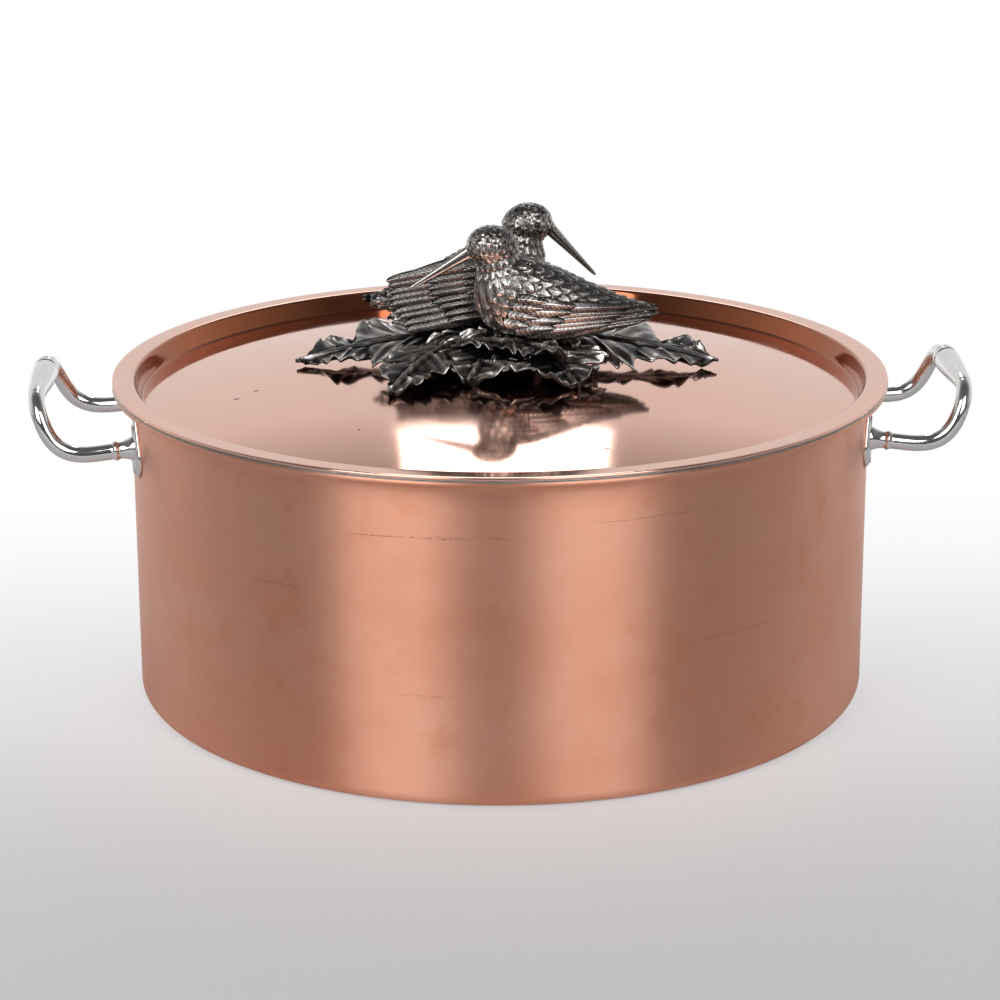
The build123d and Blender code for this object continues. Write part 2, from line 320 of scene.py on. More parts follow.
# Turned grooves of the grip: place along it, depth and width
grip_grooves = ((12.0, 0.85, 0.55), (16.7, 0.55, 0.45))


def unit(vector):
    return vector / np.linalg.norm(vector)


def run_to(points, end, gap):
    """Adds evenly spaced points from the last one up to an end."""
    first, run = points[-1], end - points[-1]
    count = max(1, int(np.linalg.norm(run) / gap))
    points += [first + run * i / count for i in range(1, count + 1)]


def rounded_path(corners, radii, gap):
    """Points along straight runs joined by tangent arcs, about a gap apart."""
    corners = [np.array(c, float) for c in corners]
    points = [corners[0]]
    for before, here, after, radius in zip(corners, corners[1:], corners[2:], radii):
        back, on = unit(before - here), unit(after - here)
        half = acos(np.dot(back, on)) / 2
        start, end = here + back * radius / tan(half), here + on * radius / tan(half)
        centre = here + unit(back + on) * radius / sin(half)
        run_to(points, start, gap)
        sweep = pi - 2 * half
        count = max(4, int(sweep * radius / gap))
        one, two = (start - centre) / radius, (end - centre) / radius
        for i in range(1, count + 1):
            k = i / count
            mix = one * sin((1 - k) * sweep) + two * sin(k * sweep)
            points.append(centre + mix / sin(sweep) * radius)
    run_to(points, corners[-1], gap)
    return np.array(points)


def smooth_step(value, low, high):
    t = np.clip((value - low) / (high - low), 0, 1)
    return t * t * (3 - 2 * t)


def grip_profile(y):
    """Radius of the grip at a place along it: the acorn, its grooves and its cap."""
    swell = smooth_step(y, swell_start, swell_end) ** 0.85
    cap = 1 - smooth_step(y, cap_start, cap_end)
    radius = rod_radius + (grip_radius - rod_radius) * min(swell, cap)
    for place, depth, width in grip_grooves:
        radius -= depth * exp(-((y - place) / width) ** 2)
    return radius


def ring_faces(rings, sides):
    """Faces of a closed skin through rings of points, with a cap at each end."""
    faces = []
    for ring in range(rings - 1):
        a, b = ring * sides, (ring + 1) * sides
        for i in range(sides):
            j = (i + 1) % sides
            faces.append((a + i, a + j, b + j, b + i))
    faces.append(tuple(range(sides - 1, -1, -1)))
    faces.append(tuple(range((rings - 1) * sides, rings * sides)))
    return faces


def tube_piece(path, radii, sides=40):
    """Points and faces of a closed tube of changing radius along a path."""
    along = np.gradient(path, axis=0)
    along /= np.linalg.norm(along, axis=1)[:, None]
    across = np.cross(along[0], (0, 0, 1))
    points = []
    for place, direction, radius in zip(path, along, radii):
        across = unit(across - direction * np.dot(across, direction))
        up = np.cross(direction, across)
        for i in range(sides):
            turn = 2 * pi * i / sides
            points.append(place + radius * (across * cos(turn) + up * sin(turn)))
    return points, ring_faces(len(path), sides)


def bow_piece():
    """The rod from foot to foot, with its collars and its swollen grip."""
    half_bow = [
        (foot_x + 0.6, foot_offset, foot_height),
        (leg_x, leg_y, leg_z),
        (grip_x, grip_half_length, grip_height),
    ]
    corners = [(x, -y, z) for x, y, z in half_bow] + half_bow[::-1]
    path = rounded_path(corners, [leg_bend, grip_bend, grip_bend, leg_bend], rod_step)
    free = path[fixed_ends - 1:1 - fixed_ends]
    for _ in range(easing_rounds):
        free[1:-1] += 0.5 * ((free[:-2] + free[2:]) / 2 - free[1:-1])
    runs = np.concatenate([[0], np.cumsum(np.linalg.norm(np.diff(path, axis=0), axis=1))])
    radii = []
    for place, run in zip(path, runs):
        from_wall = min(run, runs[-1] - run)
        radius = rod_radius + (collar_radius - rod_radius) * exp(-((from_wall / collar_length) ** 2))
        radius += bead_height * exp(-(((from_wall - bead_place) / bead_width) ** 2))
        on_grip = abs(place[1]) < grip_half_length - grip_bend and place[2] > grip_height - 1
        radii.append(grip_profile(place[1]) if on_grip else radius)
    return tube_piece(path, radii)


def pear_radius(turn):
    """Distance from the plate's middle to its edge: a circle drawn out to a point."""
    best = 0.0
    for k in np.linspace(0, 1, 40):
        radius = plate_radius + (plate_tip_radius - plate_radius) * k
        middle = -plate_drop + (plate_tip_rise + plate_drop) * k
        inside = radius**2 - (middle * cos(turn)) ** 2
        if inside > 0:
            best = max(best, middle * sin(turn) + sqrt(inside))
    return best


def plate_pieces(side):
    """Pear-shaped foot plate that hugs the wall, with a soft rounded edge."""
    points, faces, turns, rings = [], [], 64, 12
    for outer in (True, False):
        for ring in range(rings + 1):
            share = ring / rings
            height = plate_edge if ring == rings else 0.0
            if outer:
                height = max(plate_thickness * (1 - share**5) ** 0.5, plate_edge)
            for i in range(turns):
                turn = 2 * pi * i / turns
                reach = pear_radius(turn) * share
                y = side * foot_offset + reach * cos(turn)
                z = foot_height + reach * sin(turn)
                points.append((sqrt((pot_radius + height) ** 2 - y * y), y, z))
    size = (rings + 1) * turns
    for ring in range(rings):
        for i in range(turns):
            j = (i + 1) % turns
            a, b = ring * turns, (ring + 1) * turns
            faces.append((a + i, b + i, b + j, a + j))
            faces.append((size + a + i, size + a + j, size + b + j, size + b + i))
    return points, faces


def grained_metal(name, grain, dark, light, roughness, strength, distance, polish=None):
    """Metal coloured and bumped by one noise, and made rough by it or by a finer one."""
    material, tree, shader = new_material(name)
    place = object_place(tree)
    cloud = noise(tree, place, *grain)
    fine = noise(tree, place, *polish) if polish else cloud
    colour = mixed(tree, cloud, dark, light)
    dress(tree, shader, colour, ramp(tree, fine, roughness), cloud, strength, distance)
    return material


def joined(name, parts):
    """New object from several sets of points and faces."""
    points, faces = [], []
    for some_points, some_faces in parts:
        start = len(points)
        points += [tuple(p) for p in some_points]
        faces += [tuple(start + i for i in face) for face in some_faces]
    return mesh_piece(name, points, faces)


def outward(piece):
    """Merges doubled points and turns every face outward."""
    work = bmesh.new()
    work.from_mesh(piece.data)
    bmesh.ops.remove_doubles(work, verts=work.verts, dist=0.00001)
    bmesh.ops.dissolve_degenerate(work, edges=work.edges, dist=0.000002)
    bmesh.ops.recalc_face_normals(work, faces=work.faces)
    work.to_mesh(piece.data)
    work.free()


silver = grained_metal("polished_silver", (60, 4), (0.70, 0.69, 0.675), (0.86, 0.85, 0.84),
                       [(0.3, 0.06), (0.75, 0.15)], 0.16, 0.0012, polish=(420, 3))
handle_shapes = [bow_piece(), plate_pieces(-1), plate_pieces(1)]
for side, name in ((1, "right_handle"), (-1, "left_handle")):
    mirrored = [([(side * x, y, z) for x, y, z in points], faces) for points, faces in handle_shapes]
    casting = joined(name + "_casting", mirrored)
    outward(casting)
    casting.data.materials.append(silver)
    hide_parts(name)
    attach(casting, "pot")


# Rivets that hold each foot from inside: low hammered heads on the tin and
# shanks through wall and plate, ground flush with the plate's face.
rivet_radius = 2.0
rivet_head_radius = 3.6
rivet_head_height = 1.4
rivet_places = (foot_height + 8.0, foot_height - 9.0)
rivet_start = sqrt((pot_radius - lining_depth) ** 2 - rivet_head_radius**2) - 0.1
rivet_end = sqrt((pot_radius + plate_thickness) ** 2 - rivet_radius**2)
rivet_sizes = {
    "Head radius": rivet_head_radius * mm,
    "Head height": rivet_head_height * mm,
    "Shank radius": rivet_radius * mm,
    "Shank length": (rivet_end - rivet_start) * mm,
}


def rivet_nodes():
    """Tree that sets a low round head and a shank on each point, along its own way out."""
    group = bpy.data.node_groups.new("rivets_on_points", "GeometryNodeTree")
    sockets = [("Points", "INPUT", "Geometry"), *((label, "INPUT", "Float") for label in rivet_sizes),
               ("Metal", "INPUT", "Material"), ("Rivets", "OUTPUT", "Geometry")]
    for label, way, kind in sockets:
        group.interface.new_socket(label, in_out=way, socket_type="NodeSocket" + kind)
    given = group.nodes.new("NodeGroupInput").outputs
    result = group.nodes.new("NodeGroupOutput").inputs
    wide, length = given["Head radius"], given["Shank length"]
    ball = add(group, "GeometryNodeMeshUVSphere", {"Segments": 36, "Rings": 18, "Radius": 1.0})
    flat = add(group, "ShaderNodeCombineXYZ", {0: wide, 1: wide, 2: given["Head height"]})
    head = add(group, "GeometryNodeTransform", {"Geometry": ball.outputs["Mesh"], "Scale": flat.outputs[0]})
    bar = add(group, "GeometryNodeMeshCylinder",
              {"Vertices": 32, "Radius": given["Shank radius"], "Depth": length})
    rise = add(group, "ShaderNodeCombineXYZ", {2: maths(group, "MULTIPLY", length, 0.5)})
    shank = add(group, "GeometryNodeTransform",
                {"Geometry": bar.outputs["Mesh"], "Translation": rise.outputs[0]})
    whole = group.nodes.new("GeometryNodeJoinGeometry")
    for part in (head, shank):
        group.links.new(part.outputs[0], whole.inputs[0])
    way = add(group, "GeometryNodeInputNamedAttribute", {"Name": "way_out"}, data_type="FLOAT_VECTOR")
    turn = add(group, "FunctionNodeAlignRotationToVector", {"Vector": way.outputs["Attribute"]}, axis="Z")
    placed = add(group, "GeometryNodeInstanceOnPoints",
                 {"Points": given["Points"], "Instance": whole.outputs[0], "Rotation": turn.outputs[0]})
    real = add(group, "GeometryNodeRealizeInstances", {0: placed.outputs[0]})
    metal = add(group, "GeometryNodeSetMaterial", {"Geometry": real.outputs[0], "Material": given["Metal"]})
    group.links.new(metal.outputs[0], result["Rivets"])
    return group


def evaluated_mesh(piece):
    """Plain mesh of a piece as its modifiers leave it."""
    depsgraph = bpy.context.evaluated_depsgraph_get()
    return bpy.data.meshes.new_from_object(piece.evaluated_get(depsgraph))


def rivet_set(name, side, group, metal):
    """The four rivets of one handle, their heads inside the pot."""
    turn = asin(foot_offset / pot_radius)
    ways = [(side * cos(a), sin(a), 0.0) for a in (turn, -turn)]
    spots = [(*way, height) for way in ways for height in rivet_places]
    piece = mesh_piece(name, [(x * rivet_start, y * rivet_start, height) for x, y, _, height in spots], [])
    layer = piece.data.attributes.new("way_out", "FLOAT_VECTOR", "POINT")
    layer.data.foreach_set("vector", [c for spot in spots for c in spot[:3]])
    modifier = piece.modifiers.new("rivets", "NODES")
    modifier.node_group = group
    for item in group.interface.items_tree:
        if item.in_out == "INPUT" and item.name != "Points":
            modifier[item.identifier] = metal if item.name == "Metal" else rivet_sizes[item.name]
    mesh = evaluated_mesh(piece)
    piece.modifiers.remove(modifier)
    piece.data = mesh
    return piece


rivet_metal = grained_metal("hammered_rivet_metal", (380, 3), (0.62, 0.61, 0.59), (0.80, 0.79, 0.77),
                            [(0.3, 0.22), (0.7, 0.4)], 0.35, 0.0006)
rivet_group = rivet_nodes()
for side, name in ((1, "right_handle"), (-1, "left_handle")):
    rivets = rivet_set(name + "_rivet_set", side, rivet_group, rivet_metal)
    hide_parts(name + "_rivets")
    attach(rivets, "pot")


# Lid of thinner copper: a flat flange that lies on the pot's lip, a leaning
# recess wall, and a low crown polished like a mirror, tinned underneath.
lid_seat_gap = 0.2
lid_copper = 1.2
lid_sheet = lid_copper + tin_thickness
lid_top = pot_height + lid_seat_gap + lid_sheet
lid_side_gap = 1.0
crown_top = lid_top + 6.0
crown_radius = 850.0
recess_foot = pot_radius - copper_wall - tin_thickness - lid_side_gap - lid_sheet
recess_lean = 3.0
recess_top_bend = 2.0
recess_foot_bend = 1.0


def crown_z(radius):
    return crown_top - crown_radius + sqrt(crown_radius**2 - radius**2)


def lid_line():
    """Upper surface of the lid from the middle out, in the turning plane."""
    foot = (recess_foot, crown_z(recess_foot))
    brow = (recess_foot + recess_lean, lid_top)
    lean = degrees(atan2(brow[1] - foot[1], recess_lean))
    slope = degrees(atan2(foot[0], crown_radius))
    start = recess_foot - recess_foot_bend * tan(radians(lean + slope) / 2)
    centre = (start + recess_foot_bend * sin(radians(slope)),
              crown_z(start) + recess_foot_bend * cos(radians(slope)))
    line = [(r, crown_z(r)) for r in np.linspace(0, start - 0.6, 90)]
    line += arc_points(*centre, recess_foot_bend, -90 - slope, lean - 90, 9)
    cut = recess_top_bend * tan(radians(lean) / 2)
    centre = (brow[0] + cut, lid_top - recess_top_bend)
    bend = arc_points(*centre, recess_top_bend, 90 + lean, 90, 9)
    line += steps_between(line[-1], bend[0], 1.0) + bend
    end = (lip_radius - edge_round, lid_top)
    return line + [(line[-1][0] + 0.3, lid_top)] + steps_between(line[-1], end, 1.5) + [end]


# Small dark marks on the crown: x, y and size
lid_marks = [(-113.0, -38.0, 2.2), (-105.0, -30.0, 1.6), (38.0, -118.0, 1.8), (-61.0, -92.0, 1.0)]


def mirror_copper():
    """Polished copper, faintly wavy, with hazy patches and a few small marks.

    The recess wall is painted darker: a painted reflection of the dark deep of the recess.
    """
    material, tree, shader = new_material("mirror_copper")
    clear, hazy, mark_brown, painted_recess_shade = (
        (0.87, 0.50, 0.385), (0.84, 0.53, 0.43), (0.20, 0.06, 0.04), (0.36, 0.115, 0.055))
    place = object_place(tree)
    haze = noise(tree, place, 14, 5, 0.6)
    rings = noise(tree, stretched(tree, 1.5, 500, 500), 1.5, 3)
    wave = noise(tree, place, 9, 2)
    flecks = noise(tree, place, 160, 3)
    colour = mixed(tree, ramp(tree, haze, [(0.35, 0.0), (0.75, 1.0)]), clear, hazy)
    for x, y, size in lid_marks:
        middle = (x * mm, y * mm, crown_z(hypot(x, y)) * mm)
        away = add(tree, "ShaderNodeVectorMath", {0: place, 1: middle}, operation="DISTANCE")
        ragged = maths(tree, "MULTIPLY_ADD", flecks, size * mm, away.outputs["Value"])
        spot = ranged(tree, ragged, size * mm, 1.3 * size * mm, 0.8, 0.0)
        colour = mixed(tree, spot, colour, mark_brown)
    # Painted shade: the recess wall, from its foot up to the brow, is painted darker as a painted reflection
    # of the dark deep of the recess.
    far = round_place(tree)[1]
    brow = recess_foot + recess_lean
    past_foot = ranged(tree, far, (recess_foot - 1.6) * mm, recess_foot * mm)
    before_brow = ranged(tree, far, (brow - 0.2) * mm, (brow + 0.8) * mm, 1.0, 0.0)
    colour = mixed(tree, maths(tree, "MULTIPLY", past_foot, before_brow), colour, painted_recess_shade)
    rough = ramp(tree, haze, [(0.36, 0.055), (0.55, 0.085), (0.80, 0.20)])
    uneven = maths(tree, "ADD", wave, maths(tree, "MULTIPLY", rings, 0.03))
    dress(tree, shader, colour, rough, uneven, 0.20, 0.0008)
    return material


lid_upper = lid_line()
for name, node, near, far, material, slot in (
    ("lid_copper_sheet", "lid_shell", 0, -lid_copper, mirror_copper(), "polished_copper"),
    ("lid_tin", "lid_lining", -lid_copper, -lid_sheet, tin, "tin"),
):
    sheet = turned_piece(name, sheet_outline(lid_upper, near, far))
    outward(sheet)
    sheet.data.materials.append(material)
    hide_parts(node)
    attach(sheet, "lid")


# Mound, studs, washers and nuts: an oval casting that seats on the crown under
# the leaves, and steel studs from the birds down through it and the lid.
def antique_silver(name, downy):
    """Cast silver, blackened in the hollows and rubbed bright on the ridges.

    The ridge attribute says which is which. A downy one also has fine chased
    feathering where its down attribute says so.
    """
    material, tree, shader = new_material(name)
    place = object_place(tree)
    ridge = add(tree, "ShaderNodeAttribute", attribute_name="ridge").outputs["Fac"]
    speckle = noise(tree, place, 900, 4, 0.7)
    tone = noise(tree, place, 90, 4, 0.6)
    worn = maths(tree, "ADD", ridge, maths(tree, "MULTIPLY_ADD", speckle, 0.5, -0.25))
    chased, strength, distance = speckle, 0.30, 0.00025
    if downy:
        down = add(tree, "ShaderNodeAttribute", attribute_name="down").outputs["Fac"]
        cells = add(tree, "ShaderNodeTexVoronoi", {"Vector": place, "Scale": 620.0}, feature="F1")
        tuft = ramp(tree, cells.outputs["Distance"], [(0.0, 1.0), (0.55, 0.62), (0.80, 0.0)])
        tuft = maths(tree, "MULTIPLY", tuft, down)
        chased = maths(tree, "MULTIPLY_ADD", speckle, 0.35, tuft)
        worn = maths(tree, "MULTIPLY_ADD", down, -0.30, worn)
        worn = maths(tree, "MULTIPLY_ADD", tuft, 0.50, worn)
        strength, distance = 0.55, 0.0005
    dark = mixed(tree, tone, (0.018, 0.017, 0.016), (0.060, 0.054, 0.050))
    bright = mixed(tree, tone, (0.50, 0.46, 0.44), (0.80, 0.76, 0.73))
    colour = mixed(tree, ramp(tree, worn, [(0.28, 0.0), (0.60, 0.30), (0.92, 1.0)]), dark, bright)
    rough = ramp(tree, worn, [(0.2, 0.38), (0.85, 0.16)])
    dress(tree, shader, colour, rough, chased, strength, distance)
    return material


def finish_node(name, material):
    """Gives a carried-over solid its material."""
    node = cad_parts[name]
    node.data.materials.clear()
    node.data.materials.append(material)


knob_silver = antique_silver("antique_silver", False)
steel = grained_metal("turned_steel", (700, 3), (0.50, 0.50, 0.50), (0.68, 0.68, 0.67),
                      [(0.3, 0.25), (0.7, 0.42)], 0.15, 0.0003)
finish_node("knob_mound", knob_silver)
for name in ("knob_studs", "knob_washers", "knob_nuts"):
    finish_node(name, steel)


# Leaves of the knob: cast lobed and toothed leaves with raised veins, fanned
# out under the birds, their edges ruffled and their tips down on the crown.
knob_turn = radians(-2.3)
leaf_thickness = 1.5
leaf_clearance = 0.35
leaf_rows, leaf_columns = 180, 65


def in_knob_frame(points):
    """Turns points from the knob's own frame into the pot's."""
    c, s = cos(knob_turn), sin(knob_turn)
    x, y, z = np.asarray(points, float).T
    return np.stack([c * x - s * y, s * x + c * y, z], axis=1)


def with_shares(piece, name, shares):
    """Stores a share from 0 to 1 on each point, for the material to read."""
    layer = piece.data.attributes.new(name, "FLOAT", "POINT")
    layer.data.foreach_set("value", np.clip(shares, 0, 1).astype(np.float32))


def saw(value, peak):
    """Slow rise to 1 at the peak and a quick fall, once for each whole step."""
    phase = value % 1.0
    return np.where(phase < peak, phase / peak, (1 - phase) / (1 - peak))


def slab_faces(rows, columns):
    """Faces of a slab: a grid of upper points, the same grid below, and its rim."""
    faces, size = [], rows * columns
    for i in range(rows - 1):
        for j in range(columns - 1):
            a, b = i * columns + j, (i + 1) * columns + j
            faces.append((a, b, b + 1, a + 1))
            faces.append((size + a, size + a + 1, size + b + 1, size + b))
    rim = list(range(columns)) + [i * columns + columns - 1 for i in range(1, rows)]
    rim += [(rows - 1) * columns + j for j in range(columns - 2, -1, -1)]
    rim += [i * columns for i in range(rows - 2, 0, -1)]
    return faces + [(b, size + b, size + a, a) for a, b in zip(rim, rim[1:] + rim[:1])]


def leaf_piece(name, base, tip, width, heights, lobes, edge_height, sway, seed, lean=0.0):
    """One leaf: base and tip in the knob's plan, and heights above the crown.

    heights are at the base, the middle and the tip, in millimetres, and
    edge_height is where the widest lobes hang. lean raises the side at the back.
    """
    base, tip = np.array(base, float), np.array(tip, float)
    length = np.linalg.norm(tip - base)
    ahead = (tip - base) / length
    aside = np.array([-ahead[1], ahead[0]])
    # Every place on the leaf: s from base to tip, t from edge to edge
    s = np.linspace(0, 1, leaf_rows)[:, None] * np.ones((1, leaf_columns))
    t = np.linspace(-1, 1, leaf_columns)[None, :] * np.ones((leaf_rows, 1))
    out = np.abs(t)
    # Lobes and teeth of the edge, in turn on the left and the right
    walk = s**0.9 * lobes + 0.20 * sin(2.3 * seed) * np.sign(t) + 0.06 * np.sin(7 * s + seed)
    within = walk % 1.0
    lobe = np.sin(0.5 * np.pi * saw(walk, 0.62)) ** 0.9
    tooth = saw(walk * 3 + 0.2, 0.66)
    envelope = np.sin(np.pi * (0.06 + 0.94 * s)) ** 0.52 * (1 - 0.25 * s)
    half = 0.5 * width * envelope * (0.46 + 0.41 * lobe + 0.13 * tooth)
    along = length * s + 0.50 * out**1.3 * half * (1 - s**2) - 0.06 * length * out
    across = t * half + sway * np.sin(np.pi * s)
    # Height along the middle, and how far each place hangs down to the edge's
    low, middle, high = heights
    rise = low * (1 - s) * (1 - 2 * s) + 4 * middle * s * (1 - s) + high * s * (2 * s - 1)
    spread = np.clip(out * half / (0.5 * width), 0, 1)
    hang = spread**1.7 * smooth_step(s, 0.0, 0.25)
    # Carving: cupped lobes, a midrib in its trench, veins, twigs and valleys
    cup = np.sin(np.pi * within) - 0.35
    stem = 0.22 + 0.42 * out
    vein = np.exp(-((within - stem) / 0.045) ** 2) * smooth_step(out, 0.03, 0.15)
    twig = np.cos(2 * np.pi * (walk * 4 - out * 1.8))
    valley = np.exp(-((np.minimum(within, 1 - within)) / 0.09) ** 2) * out
    midrib = np.exp(-((out * half) ** 2))
    trench = np.exp(-(((out * half - 2.2) / 0.9) ** 2))
    plan_x = base[0] + ahead[0] * along + aside[0] * across
    plan_y = base[1] + ahead[1] * along + aside[1] * across
    crown = crown_top - (plan_x**2 + plan_y**2) / (2 * crown_radius)
    lift = rise * (1 - hang) + edge_height * hang + 2.6 * cup * out * (0.4 + 0.6 * out)
    lift += 0.9 * midrib - 0.6 * trench + 0.8 * vein - 1.3 * valley + 0.30 * twig * (1 - midrib) * out
    lift += out**9 + 0.9 * np.sin(11 * s + 5 * t + seed) * out
    lift += 0.7 * np.sin(2 * np.pi * (walk * 3 + 0.2)) * out**4 + lean * aside[1] * across
    z = crown + np.maximum(lift, leaf_clearance + leaf_thickness * 0.6)
    upper = np.stack([plan_x, plan_y, z], axis=2).reshape(-1, 3)
    thin = (leaf_thickness * (1 - 0.4 * out**2)).reshape(-1)
    lower = upper - np.stack([0 * thin, 0 * thin, thin], axis=1)
    points = in_knob_frame(np.concatenate([upper, lower]))
    piece = mesh_piece(name + "_casting", points, slab_faces(leaf_rows, leaf_columns))
    ridge = 0.52 + 0.40 * midrib - 0.30 * trench + 0.40 * vein - 0.40 * valley + 0.14 * twig
    ridge += 0.30 * cup * out + 0.60 * out**12
    with_shares(piece, "ridge", np.concatenate([ridge.reshape(-1), np.full(ridge.size, 0.10)]))
    outward(piece)
    piece.data.materials.append(knob_silver)
    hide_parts(name)
    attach(piece, "lid")


leaf_piece("leaf_left", (-12, 3), (-89, -2), 54, (11.0, 9.0, 2.4), 3, 5.0, 2, 1, 0.17)
leaf_piece("leaf_front_left", (-10, -6), (-47, -61), 46, (11.0, 9.0, 2.0), 3, 2.4, -3, 2)
leaf_piece("leaf_front_centre", (-2, -6), (-14, -52), 52, (11.0, 10.0, 3.0), 3, 4.2, 2, 3)
leaf_piece("leaf_front_right", (10, -4), (33, -54), 62, (11.0, 10.0, 2.4), 4, 4.0, -2, 4)
leaf_piece("leaf_right", (16, 0), (95, -4), 54, (11.0, 10.0, 3.4), 3, 5.0, -3, 5, 0.17)
leaf_piece("leaf_back_right", (12, 9), (62, 54), 48, (11.0, 9.5, 2.6), 4, 3.4, 2, 6)
leaf_piece("leaf_back", (0, 9), (4, 61), 48, (11.0, 9.0, 2.4), 3, 3.4, -2, 7)
leaf_piece("leaf_back_left", (-9, 9), (-48, 56), 46, (11.0, 11.0, 8.0), 3, 4.5, 2, 8)
leaf_piece("leaf_centre", (-18, -22), (32, -46), 27, (12.0, 14.5, 12.0), 3, 9.5, 3, 9)


# Two game birds with long bills, cast with every feather raised: the near one
# faces left and folds both wings, the far one faces right with a wing fanned.
# Each is built facing +X, with its head at the origin, and then put in place.
skin_voxel = 0.55
skin_rounds = 4
feathers_round = 18
eye = (3.2, 8.2, 2.6)
eye_radius = 1.5
bill_root = (9, 0, -1.5)
bill_radius, bill_end_radius = 3.2, 0.75
body_turn = atan(0.194)
# Balls of the head, neck and throat: middle, radii and lean in degrees
head_balls = [
    ((0.0, 0.0, 0.0), (11.0, 8.8, 9.0), 8),
    ((-2.5, 0.0, -7.5), (9.0, 8.6, 9.0), 0),
    ((-3.5, 0.0, -14.0), (10.0, 10.0, 10.5), 0),
    ((8.0, 0.0, -1.8), (4.2, 3.4, 3.6), 30),
]
# Ovals of the body: middle x and z, half width and half height
body_ovals = [
    (7, -18, 4.5, 8),
    (1, -20, 10.5, 15),
    (-10, -22.5, 13.8, 18.5),
    (-25, -26, 13.8, 17),
    (-42, -29, 10.8, 11.5),
    (-57, -30.5, 7.5, 6),
    (-69, -31, 4.2, 2.2),
]
# The way the feathers lie, from the forehead to the tail: x and z
spine = np.array([(9, 4), (0, 0), (-4, -14), (-14, -22), (-30, -27), (-72, -31)], float)
# Rows of feathers: how many, root and tip of the first one, root and tip of the
# last one, each as x, distance from the middle plane and height, width and arch
folded_rows = [
    (5, (-16, 12.6, -37), (-66, 5.0, -34.2), (-26, 13.6, -29), (-71, 2.8, -30), 5.6, 0.8),
    (5, (-12, 14.0, -35), (-49, 10.2, -33.5), (-24, 14.0, -25), (-57, 7.4, -27.5), 6.2, 0.9),
    (4, (-7, 14.4, -33), (-24, 15.0, -33), (-14, 14.6, -22), (-33, 13.8, -24), 6.2, 0.9),
    (4, (-2, 13.4, -30), (-13, 15.6, -31.5), (-8, 14.0, -20), (-21, 15.2, -21.5), 5.2, 0.9),
]
fanned_rows = [
    (9, (-12, 12.2, -34), (-56, 12.0, -42), (-22, 12.4, -13), (-64, 9.6, -20), 8.6, 1.2),
    (8, (-8, 13.4, -34), (-38, 15.0, -38), (-16, 13.8, -12), (-47, 12.8, -18), 7.4, 1.2),
    (7, (-4, 14.2, -32), (-22, 16.4, -35), (-12, 14.4, -12), (-32, 14.8, -16), 6.2, 1.0),
    (6, (2, 13.0, -29), (-11, 16.0, -31), (-5, 13.6, -12), (-19, 15.2, -15), 5.0, 0.9),
]


def smooth_curve(values, where):
    """Smooth curve through values at evenly spaced keys from 0 to 1."""
    keys = np.linspace(0, 1, len(values))
    step = keys[1]
    slopes = np.gradient(values, step)
    spot = np.clip((where / step).astype(int), 0, len(keys) - 2)
    t = (where - keys[spot]) / step
    a, b = values[spot], values[spot + 1]
    m, n = slopes[spot] * step, slopes[spot + 1] * step
    return (a * (2 * t**3 - 3 * t**2 + 1) + m * (t**3 - 2 * t**2 + t)
            + b * (3 * t**2 - 2 * t**3) + n * (t**3 - t**2))


def oval_loft(ovals, sides=48, steps=90):
    """Closed skin through upright ovals."""
    where = np.linspace(0, 1, steps)
    points = []
    for x, z, wide, high in np.stack([smooth_curve(row, where) for row in np.array(ovals, float).T], axis=1):
        wide, high = max(wide, 0.3), max(high, 0.3)
        for i in range(sides):
            turn = 2 * pi * i / sides
            points.append((x, wide * cos(turn), z + high * sin(turn)))
    return points, ring_faces(steps, sides)


def ball_skin(centre, radii, lean=0.0, sides=32):
    """Closed oval ball."""
    points = []
    c, s = cos(radians(lean)), sin(radians(lean))
    for i in range(1, sides):
        up = pi * i / sides - pi / 2
        for j in range(2 * sides):
            turn = pi * j / sides
            x, z = radii[0] * cos(up) * cos(turn), radii[2] * sin(up)
            y = radii[1] * cos(up) * sin(turn)
            points.append((centre[0] + c * x - s * z, centre[1] + y, centre[2] + s * x + c * z))
    return points, ring_faces(sides - 1, 2 * sides)


def blended_skin(parts):
    """One skin over several closed shapes, with the joins smoothed."""
    raw = joined("raw_skin", parts)
    outward(raw)
    remesh = raw.modifiers.new("skin", "REMESH")
    remesh.mode = "VOXEL"
    remesh.voxel_size = skin_voxel * mm
    ease = raw.modifiers.new("ease", "SMOOTH")
    ease.iterations = skin_rounds
    ease.factor = 0.5
    mesh = evaluated_mesh(raw)
    points, normals = np.empty(3 * len(mesh.vertices)), np.empty(3 * len(mesh.vertices))
    mesh.vertices.foreach_get("co", points)
    mesh.vertex_normals.foreach_get("vector", normals)
    faces = [tuple(face.vertices) for face in mesh.polygons]
    bpy.data.objects.remove(raw)
    return points.reshape(-1, 3) / mm, normals.reshape(-1, 3), faces


def feather_scales(row, column):
    """Height and shafts of overlapping round feathers, whose free ends are at growing rows."""
    height, shaft = np.zeros_like(row), np.zeros_like(row)
    done = np.zeros(row.shape, bool)
    for back in (1, 0):
        index = np.floor(row) - back
        t = (row - index) / 1.62
        side = (column + 0.5 * (index % 2)) % 1.0 - 0.5
        reach = 0.62 * np.sqrt(np.clip(1 - (np.clip(t, 0.35, 1.0) - 0.35) ** 2 / 0.4225, 0, 1))
        covered = (np.abs(side) < reach) & (t < 1) & ~done
        close = np.clip((reach - np.abs(side)) / 0.16, 0, 1)
        height = np.where(covered, (0.25 + 0.75 * t) * (0.35 + 0.65 * close), height)
        barbs = 0.5 + 0.5 * np.cos(2 * np.pi * (t * 3.2 - np.abs(side) * 2.4) * 1.6)
        shaft = np.where(covered, np.exp(-(side / 0.07) ** 2) * 0.5 + 0.22 * barbs * close, shaft)
        done |= covered
    return height, shaft


